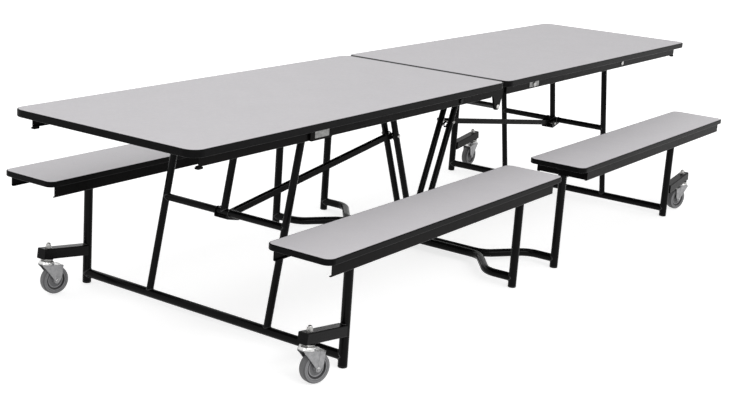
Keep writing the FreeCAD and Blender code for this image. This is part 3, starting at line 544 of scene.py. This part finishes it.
def frame_welds(side, sign):
    """Beads round every tube end of one end frame and one centre frame."""
    across = Vector((0, 1, 0))
    upright = Vector((0, 0, 1))
    body = side + "_end"
    for end, toward in ENDS.items():
        label = side + "_" + end
        post = Vector((sign * POST_X, toward * POST_Y, LOW_TUBE_Z))
        inward = post - across * toward
        weld(label + "_post_weld",
             tee_line(post, inward, POST_RADIUS, post, upright, POST_RADIUS),
             body)
        weld(label + "_arm_weld", arm_line(sign, toward), body)
        foot = leaning_point(sign, toward * LEG_Y, LOW_TUBE_Z)
        top = leaning_point(sign, toward * LEG_Y, END_PIVOT.z)
        weld(label + "_leg_weld",
             tee_line(foot, top, LEG_RADIUS, foot, across, POST_RADIUS),
             body)
        tee = leaning_point(sign, toward * LEG_Y, UPPER_TUBE_Z)
        middle = leaning_point(sign, 0, UPPER_TUBE_Z)
        weld(label + "_upper_weld",
             tee_line(tee, middle, LEG_RADIUS, tee, (top - foot).normalized(), LEG_RADIUS),
             body)
        weld(label + "_bracket_weld",
             round_line(middle + across * toward * BRACKET_HALF, across, BRACKET_WELD_RADIUS),
             body)
        inner = Vector((sign * INNER_POST_X, toward * POST_Y, LOW_TUBE_Z))
        weld(label + "_center_weld",
             tee_line(inner, inner - across * toward, POST_RADIUS, inner, upright, POST_RADIUS),
             side + "_center_frame")
    strut = leaning_point(sign, 0, UPPER_TUBE_Z)
    strut_top = leaning_point(sign, 0, END_PIVOT.z)
    weld(side + "_strut_weld",
         tee_line(strut, strut_top, LEG_RADIUS, strut, across, LEG_RADIUS),
         body)


# ---- Screws that hold the boards on their channels ----
def screw_into(shape, place):
    """Pan head that faces down, with a cross recess."""
    turns = turns_of(SCREW_CORNERS)
    recess = [
        SCREW_RECESS_NARROW if index % 4 else SCREW_RECESS_WIDE for index in range(SCREW_CORNERS)
    ]
    face_drop = SCREW_PROFILE[-1][1]
    rows = [([radius] * SCREW_CORNERS, drop) for radius, drop in SCREW_PROFILE]
    rows.append((recess, face_drop))
    rows.append(([radius * SCREW_RECESS_TAPER for radius in recess], SCREW_RECESS_FLOOR))
    rings = [
        [
            shape.verts.new(
                place + Vector((radius * math.cos(turn), radius * math.sin(turn), -drop)))
            for radius, turn in zip(radii, turns)
        ]
        for radii, drop in rows
    ]
    for first, second in zip(rings, rings[1:]):
        for index in range(SCREW_CORNERS):
            ahead = (index + 1) % SCREW_CORNERS
            shape.faces.new((first[index], first[ahead], second[ahead], second[index]))
    shape.faces.new(rings[-1])
    shape.faces.new(rings[0][::-1])


def screws(name, body, places):
    """One piece that holds a screw at each place."""
    mesh = bpy.data.meshes.new(name)
    shape = bmesh.new()
    for place in places:
        screw_into(shape, Vector(place))
    bmesh.ops.recalc_face_normals(shape, faces=shape.faces)
    shape.to_mesh(mesh)
    shape.free()
    add_piece(name, mesh, body, FINISHES["zinc"])


def board_screws(side, sign):
    """The screws under one top and its two seats."""
    top_places = [
        (sign * (TOP_SCREW_START + TOP_SCREW_STEP * k), toward * TOP_SCREW_Y, TOP_FLANGE_Z)
        for k in range(TOP_SCREW_COUNT) for toward in ENDS.values()
    ]
    screws(side + "_top_screws", side + "_table", top_places)
    for end, toward in ENDS.items():
        seat_places = [
            (sign * (SEAT_SCREW_START + SEAT_SCREW_STEP * k), toward * y, SEAT_FLANGE_Z)
            for k in range(SEAT_SCREW_COUNT) for y in SEAT_SCREW_Y
        ]
        label = side + "_" + end + "_bench"
        screws(label + "_screws", label, seat_places)


# ---- Cheeks of the caster forks ----
def inset(outline, depth):
    """The closed outline, moved inwards at each corner."""
    count = len(outline)
    area = sum(
        first[0] * second[1] - second[0] * first[1]
        for first, second in zip(outline, outline[1:] + outline[:1])
    )
    sign = 1 if area > 0 else -1
    moved = []
    for index, point in enumerate(outline):
        before = Vector(point) - Vector(outline[index - 1])
        after = Vector(outline[(index + 1) % count]) - Vector(point)
        lean = before.normalized() + after.normalized()
        normal = Vector((-lean.y, lean.x)).normalized() * sign
        moved.append(tuple(Vector(point) + normal * depth))
    return moved


def tip_arc(first, last, count=7):
    """Part of the round tip about the axle, between two angles in degrees."""
    turns = [math.radians(first + (last - first) * k / (count - 1)) for k in range(count)]
    return [(FORK_TIP * math.cos(turn), FORK_TIP * math.sin(turn)) for turn in turns]


def cheek_outlines(top):
    """Leading and trailing parts of a cheek, as (backward, upward) from the axle."""
    lead_edge, trail_edge = FORK_GROOVE
    lead_low = -math.degrees(math.acos(lead_edge / FORK_TIP))
    trail_low = -math.degrees(math.acos(trail_edge / FORK_TIP))
    leading = [
        (lead_edge, top), (-FORK_LEAD, top),
        (-FORK_LEAD + FORK_LEAD_LEAN, top - FORK_LEAD_FALL),
    ]
    trailing = [
        (trail_edge, top), (FORK_TRAIL, top), (FORK_TRAIL, FORK_SHOULDER),
        (FORK_TRAIL - FORK_WAIST_LEAN, FORK_SHOULDER * FORK_WAIST),
    ]
    leading += tip_arc(FORK_TIP_LEAD, lead_low)
    trailing += tip_arc(FORK_TIP_TRAIL, trail_low)
    return leading, trailing


def shelf_outline(top):
    """End of the crown that spans the two cheeks behind the solid fork."""
    start = FORK_TIP - FORK_CHAMFER * 2
    low = top - FORK_SHEET
    return [(start, low), (FORK_TRAIL, low), (FORK_TRAIL, top), (start, top)]


def fork_cheeks():
    """Pressed cheeks over both legs of each fork, grooved above the axle, and their shelf."""
    for name, roll in JOINTS.items():
        if not name.endswith("_roll"):
            continue
        label = name[:-len("_roll")]
        swivel = JOINTS[label + "_swivel"]
        axle = Vector(roll["pos_m"])
        axis = Vector(roll["axis"])
        upright = Vector(swivel["axis"])
        pin = Vector(swivel["pos_m"]) - axle
        backward = upright.cross(axis).normalized()
        if backward.dot(pin) > 0:
            backward = -backward
        top = pin.dot(upright) - FORK_TOP_DROP
        leading, trailing = cheek_outlines(top)
        plates = [(shelf_outline(top), -FORK_OUTER, FORK_OUTER)]
        for face in (-1, 1):
            for outline in (leading, trailing):
                plates.append((outline, face * FORK_INNER, face * FORK_OUTER))
        shape = bmesh.new()
        for outline, near, far in plates:
            bevel = math.copysign(FORK_CHAMFER, far - near)
            rows = ((outline, near), (outline, far - bevel), (inset(outline, FORK_CHAMFER), far))
            sections = [
                [axle + backward * back + upright * rise + axis * out for back, rise in row]
                for row, out in rows
            ]
            plate = ring_mesh("plate", sections, closed=False, smooth=False)
            shape.from_mesh(plate)
            bpy.data.meshes.remove(plate)
        mesh = bpy.data.meshes.new(label + "_cheeks")
        shape.to_mesh(mesh)
        shape.free()
        # the cheeks take the same finish, with its painted highlight on their upward chamfers and on the
        # shelf
        add_piece(label + "_cheeks", mesh, swivel["child"], FORK_STEEL_PAINTED_HIGHLIGHT)


# ---- Stage, light and camera ----
def soft_lamp(name, place, size, power):
    """A rectangular area lamp, turned to the table."""
    light = bpy.data.lights.new(name, "AREA")
    light.shape = "RECTANGLE"
    light.size, light.size_y = size
    light.energy = power
    lamp = bpy.data.objects.new(name, light)
    lamp.location = place
    toward = Vector(LAMP_TARGET) - Vector(place)
    lamp.rotation_euler = toward.to_track_quat("-Z", "Y").to_euler()
    bpy.context.scene.collection.objects.link(lamp)


def seen_rays(nodes, links):
    """1 for what is seen, directly or in gloss and glass, and 0 for light on the object."""
    rays = nodes.new("ShaderNodeLightPath")
    total = rays.outputs["Is Camera Ray"]
    for kind in ("Is Glossy Ray", "Is Transmission Ray"):
        node = nodes.new("ShaderNodeMath")
        node.operation = "MAXIMUM"
        links.new(total, node.inputs[0])
        links.new(rays.outputs[kind], node.inputs[1])
        total = node.outputs[0]
    return total


def studio_floor():
    """Pale floor that the camera sees as white, apart from the object's own soft shadow."""
    mesh = bpy.data.meshes.new("floor")
    signs = ((-1, -1), (1, -1), (1, 1), (-1, 1))
    corners = [(x * FLOOR_REACH, y * FLOOR_REACH, 0) for x, y in signs]
    mesh.from_pydata(corners, [], [(0, 1, 2, 3)])
    floor = bpy.data.objects.new("floor", mesh)
    bpy.context.scene.collection.objects.link(floor)
    recipe = Recipe("floor_white", (FLOOR_TONE, FLOOR_TONE, FLOOR_TONE), 0.9)
    recipe.specular(0.0)
    recipe.shader.inputs["Emission Color"].default_value = (1, 1, 1, 1)
    away = recipe.vector("LENGTH", recipe.coords.outputs["Object"], (0, 0, 0))
    lift = recipe.span(away, FLOOR_NEAR, FLOOR_FAR, FLOOR_LIFT, 1.0)
    lift = recipe.math("MULTIPLY", seen_rays(recipe.nodes, recipe.links), lift)
    recipe.link(lift, recipe.shader.inputs["Emission Strength"])
    mesh.materials.append(recipe.material)


def studio():
    """White surround, with large soft lamps overhead and on three sides."""
    studio_floor()
    world = bpy.data.worlds.new("studio")
    bpy.context.scene.world = world
    world.use_nodes = True
    nodes = world.node_tree.nodes
    links = world.node_tree.links
    background = nodes["Background"]
    background.inputs["Color"].default_value = (1, 1, 1, 1)
    strength = nodes.new("ShaderNodeMapRange")
    strength.inputs["To Min"].default_value = WORLD_LIGHT
    strength.inputs["To Max"].default_value = 1.0
    links.new(seen_rays(nodes, links), strength.inputs["Value"])
    links.new(strength.outputs["Result"], background.inputs["Strength"])
    for name, (place, size, power) in LAMPS.items():
        soft_lamp(name, place, size, power)


def add_camera():
    """The camera of the photograph, as near as a small lens shift allows."""
    forward = Vector((
        math.cos(CAMERA_YAW) * math.cos(CAMERA_PITCH),
        math.sin(CAMERA_YAW) * math.cos(CAMERA_PITCH),
        math.sin(CAMERA_PITCH),
    ))
    level = Vector((math.sin(CAMERA_YAW), -math.cos(CAMERA_YAW), 0))
    above = level.cross(forward)
    right = level * math.cos(CAMERA_ROLL) + above * math.sin(CAMERA_ROLL)
    up = above * math.cos(CAMERA_ROLL) - level * math.sin(CAMERA_ROLL)
    data = bpy.data.cameras.new("camera")
    data.sensor_width = SENSOR_WIDTH
    data.lens = FOCAL_PIXELS / IMAGE_WIDTH * SENSOR_WIDTH
    data.shift_x = (IMAGE_WIDTH / 2 - AXIS_PIXEL[0]) / IMAGE_WIDTH
    data.shift_y = (AXIS_PIXEL[1] - IMAGE_HEIGHT / 2) / IMAGE_WIDTH
    data.clip_end = CAMERA_REACH
    camera = bpy.data.objects.new("camera", data)
    turn = Matrix((right, up, -forward)).transposed()
    camera.matrix_world = Matrix.Translation(CAMERA_PLACE) @ turn.to_4x4()
    bpy.context.scene.collection.objects.link(camera)
    bpy.context.scene.camera = camera


bpy.context.scene.view_settings.view_transform = "Standard"
dress_cad()
for side_name, side_sign in SIDES.items():
    frame_welds(side_name, side_sign)
    board_screws(side_name, side_sign)
fork_cheeks()
studio()
add_camera()
